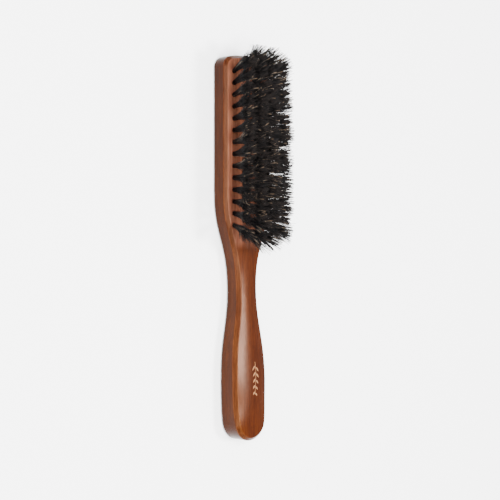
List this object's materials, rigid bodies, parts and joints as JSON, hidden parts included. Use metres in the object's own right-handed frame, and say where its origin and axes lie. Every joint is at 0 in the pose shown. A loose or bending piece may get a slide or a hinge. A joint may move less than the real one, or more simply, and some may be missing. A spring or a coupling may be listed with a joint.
{
  "type": "body dry brush",
  "caption": "Hand-held dry brush: a wooden body with a flat head, narrow waist and swelling handle, set with fanned tufts of natural bristle held by flat wire anchors.",
  "frame": {"origin": "on the flat back of the wooden body, under the middle of the bristle field", "axes": "+X along the brush towards the handle's end, +Z from the flat back towards the bristle tips, Y across the brush"},
  "size_m": [0.2234, 0.0388, 0.0293],
  "materials": {
    "stained_wood": "reddish brown stain under satin lacquer, fine grain along the brush",
    "bristle": "black natural bristle with brown split tips",
    "anchor_wire": "drawn flat wire"
  },
  "bodies": {
    "root": {"wooden_body": "stained_wood", "tuft_anchors": "anchor_wire", "tuft_left_outer_01": "bristle", "tuft_left_outer_02": "bristle", "tuft_left_outer_03": "bristle", "tuft_left_outer_04": "bristle", "tuft_left_outer_05": "bristle", "tuft_left_outer_06": "bristle", "tuft_left_outer_07": "bristle", "tuft_left_outer_08": "bristle", "tuft_left_outer_09": "bristle", "tuft_left_outer_10": "bristle", "tuft_left_outer_11": "bristle", "tuft_left_outer_12": "bristle", "tuft_left_outer_13": "bristle", "tuft_left_outer_14": "bristle", "tuft_left_inner_01": "bristle", "tuft_left_inner_02": "bristle", "tuft_left_inner_03": "bristle", "tuft_left_inner_04": "bristle", "tuft_left_inner_05": "bristle", "tuft_left_inner_06": "bristle", "tuft_left_inner_07": "bristle", "tuft_left_inner_08": "bristle", "tuft_left_inner_09": "bristle", "tuft_left_inner_10": "bristle", "tuft_left_inner_11": "bristle", "tuft_left_inner_12": "bristle", "tuft_left_inner_13": "bristle", "tuft_left_inner_14": "bristle", "tuft_left_inner_15": "bristle", "tuft_right_inner_01": "bristle", "tuft_right_inner_02": "bristle", "tuft_right_inner_03": "bristle", "tuft_right_inner_04": "bristle", "tuft_right_inner_05": "bristle", "tuft_right_inner_06": "bristle", "tuft_right_inner_07": "bristle", "tuft_right_inner_08": "bristle", "tuft_right_inner_09": "bristle", "tuft_right_inner_10": "bristle", "tuft_right_inner_11": "bristle", "tuft_right_inner_12": "bristle", "tuft_right_inner_13": "bristle", "tuft_right_inner_14": "bristle", "tuft_right_inner_15": "bristle", "tuft_right_outer_01": "bristle", "tuft_right_outer_02": "bristle", "tuft_right_outer_03": "bristle", "tuft_right_outer_04": "bristle", "tuft_right_outer_05": "bristle", "tuft_right_outer_06": "bristle", "tuft_right_outer_07": "bristle", "tuft_right_outer_08": "bristle", "tuft_right_outer_09": "bristle", "tuft_right_outer_10": "bristle", "tuft_right_outer_11": "bristle", "tuft_right_outer_12": "bristle", "tuft_right_outer_13": "bristle", "tuft_right_outer_14": "bristle"}
  },
  "joints": []
}
